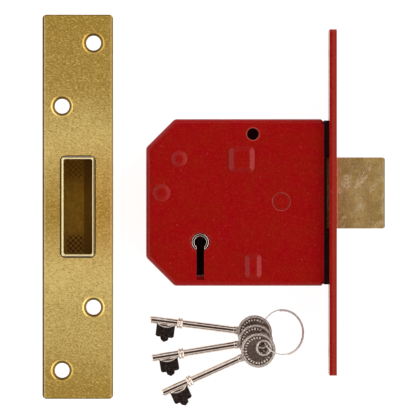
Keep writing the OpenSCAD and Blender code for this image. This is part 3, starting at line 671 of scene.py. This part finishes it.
def make_beads(k):
    """A plain ring of raised beads on both faces of a bow, left out where they would meet the hole's rim."""
    count = 28
    bow_centre = Matrix.Translation((-2.65 * MM, 0, 0))
    circle_r, sunk_face, hole_rim = 5.35 * MM, 0.39 * MM, 4.3 * MM
    bead_l, bead_w, broad_w, bead_h = 0.55 * MM, 0.3 * MM, 0.42 * MM, 0.26 * MM
    bm = bmesh.new()
    for side in (0, pi):
        for i in range(count):
            turn = Matrix.Rotation(2 * pi * (i + 0.5) / count, 4, "Z")
            out = Matrix.Translation((circle_r, 0, sunk_face))
            at = bow_centre @ Matrix.Rotation(side, 4, "X") @ turn @ out
            if at.translation.to_2d().length > hole_rim:
                dome(bm, KEYS[k] @ at, (bead_l, bead_w if i % 3 else broad_w), bead_h)
    make_piece(f"bow_beads_{k}", smooth_mesh(f"bow_beads_{k}", bm), f"key_{k}", "key_bow", BOWS[k])


def make_saddle(k):
    """The bright brazed seat, shaped like a lens, between the shank and the dark bit."""
    place = KEYS[k]
    bit = [place.inverted() @ v.co for v in nodes[f"key_{k}_bit"].data.vertices]
    low_x, high_x = min(v.x for v in bit), max(v.x for v in bit)
    middle_x, half_l = (low_x + high_x) / 2, (high_x - low_x) / 2 - 0.25 * MM
    half_t = max(v.z for v in bit) + 0.4 * MM
    top_y, belly, thin = -1.2 * MM, 1.6 * MM, 0.2 * MM
    steps = 16
    bm = bmesh.new()
    slices = []
    for height, reach in ((-1.0, 0.3), (-0.93, 0.6), (-0.75, 0.85), (0.0, 1.0), (0.75, 0.85), (0.93, 0.6),
            (1.0, 0.3)):
        outline = []
        for i in range(steps + 1):
            t = -1 + 2 * i / steps
            depth = belly * reach * (1 - abs(t) ** 2.4) + thin
            outline.append((middle_x + t * half_l * (0.9 + 0.1 * reach), top_y - depth))
        outline += [(outline[-1][0], top_y), (outline[0][0], top_y)]
        slices.append([bm.verts.new(place @ Vector((x, y, height * half_t))) for x, y in outline])
    bridge(bm, slices)
    bm.faces.new(slices[0])
    bm.faces.new(slices[-1])
    bmesh.ops.recalc_face_normals(bm, faces=bm.faces)
    make_piece(f"bit_saddle_{k}", smooth_mesh(f"bit_saddle_{k}", bm), f"key_{k}", "nickel")


def make_spring(k):
    """A lever's leaf spring, whose root rises with the lever while its tip stays under the sleeve: here its
    CAD mesh is only copied into a new object with rounded edges, and the node hidden.
    """
    name = f"lever_spring_{k}"
    mesh = nodes[name].data.copy()
    mesh.name = f"leaf_spring_{k}"
    piece = bpy.data.objects.new(mesh.name, mesh)
    bpy.context.scene.collection.objects.link(piece)
    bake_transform(piece)
    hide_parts(name)
    soften(piece, LEAF_ROUND)


make_split_ring()
for k in range(1, 6):
    make_spring(k)
for k in KEYS:
    make_beads(k)
    make_saddle(k)


# ---------------------------------------------------------------- floor, light and camera

KIT_LOW, KIT_HIGH = [Vector(c) for c in cad_box]


def make_floor():
    """Lit white table; its own light stops right under the case's holes, so that they stay dark."""
    size, glow, sleeve_r, soft = 3.0, 0.92, 3.5, 2
    mesh = bpy.data.meshes.new("floor")
    corners = [(-size, -size), (size, -size), (size, size), (-size, size)]
    mesh.from_pydata([(x, y, KIT_LOW.z) for x, y in corners], [], [(0, 1, 2, 3)])
    floor = bpy.data.objects.new("floor", mesh)
    bpy.context.scene.collection.objects.link(floor)
    s = Shader("pale_floor")
    below = -box_mm("case_cap")[0][1]
    sleeve = [(a + b) / 2 for a, b in zip(*box_mm("fixing_sleeve"))][:2]
    keyhole_dark = ring_mark(s, (0, -below / 3), 0, below * 0.6, soft)
    sleeve_dark = ring_mark(s, sleeve, 0, sleeve_r, soft)
    dark = s.math("MAXIMUM", keyhole_dark, sleeve_dark)
    # Painted shadow: the floor's own colour is near black under the holes too.
    s.put(s.bsdf.inputs["Base Color"], s.mix(dark, (0.25, 0.25, 0.25), (0.03, 0.008, 0.01)))
    s.put(s.bsdf.inputs["Roughness"], 0.8)
    s.put(s.bsdf.inputs["Specular IOR Level"], 0.1)
    s.put(s.bsdf.inputs["Emission Color"], (1, 1, 1, 1))
    s.put(s.bsdf.inputs["Emission Strength"], s.ramp(dark, 0.0, 1.0, glow, 0.0))
    mesh.materials.append(s.material)


def make_sky():
    """Soft studio: dark straight up, a bright ring of diffusers round that, and low light mostly from +X."""
    world = bpy.data.worlds.new("studio")
    bpy.context.scene.world = world
    world.use_nodes = True
    s = Nodes(world.node_tree)
    way = s.node("ShaderNodeTexCoord").outputs["Generated"]
    right, up = s.part(way, "X"), s.part(way, "Z")
    left = s.times(right, -1.0)
    cap_lean = radians(4)
    from_cap = s.dot(way, (0.0, -sin(cap_lean), cos(cap_lean)))
    in_cap = s.ramp(from_cap, cos(radians(35)), cos(radians(28)))
    in_ring = s.ramp(up, cos(radians(60)), cos(radians(46)))
    side = s.math("ADD", s.ramp(right, 0.35, 0.75, 0.3, 3.0), s.ramp(left, 0.35, 0.75, 0.0, 1.5))
    ring = s.math("ADD", s.ramp(right, 0.15, 0.6, 1.02, 1.8), s.ramp(left, 0.15, 0.6, 0.0, 0.15))
    background = world.node_tree.nodes["Background"]
    s.put(background.inputs["Strength"], s.fade(in_cap, s.fade(in_ring, side, ring), 0.07))
    s.put(background.inputs["Color"], s.mix(in_cap, (1, 1, 1), (1, 0.66, 0.52)))


def make_camera():
    distance, width, sensor = 2.2, 174.7 * MM, 36
    aside = Vector((-2.47, 1.235, 0)) * MM
    face_z = -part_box("case_cap")[0][2]
    centre = (KIT_LOW + KIT_HIGH) / 2 + aside
    data = bpy.data.cameras.new("camera")
    data.sensor_width = sensor
    data.lens = sensor * distance / width
    data.clip_end = 20
    camera = bpy.data.objects.new("camera", data)
    bpy.context.scene.collection.objects.link(camera)
    camera.location = (centre.x, centre.y, face_z + distance)
    bpy.context.scene.camera = camera


make_floor()
make_sky()
make_camera()
bpy.context.scene.view_settings.view_transform = "Standard"
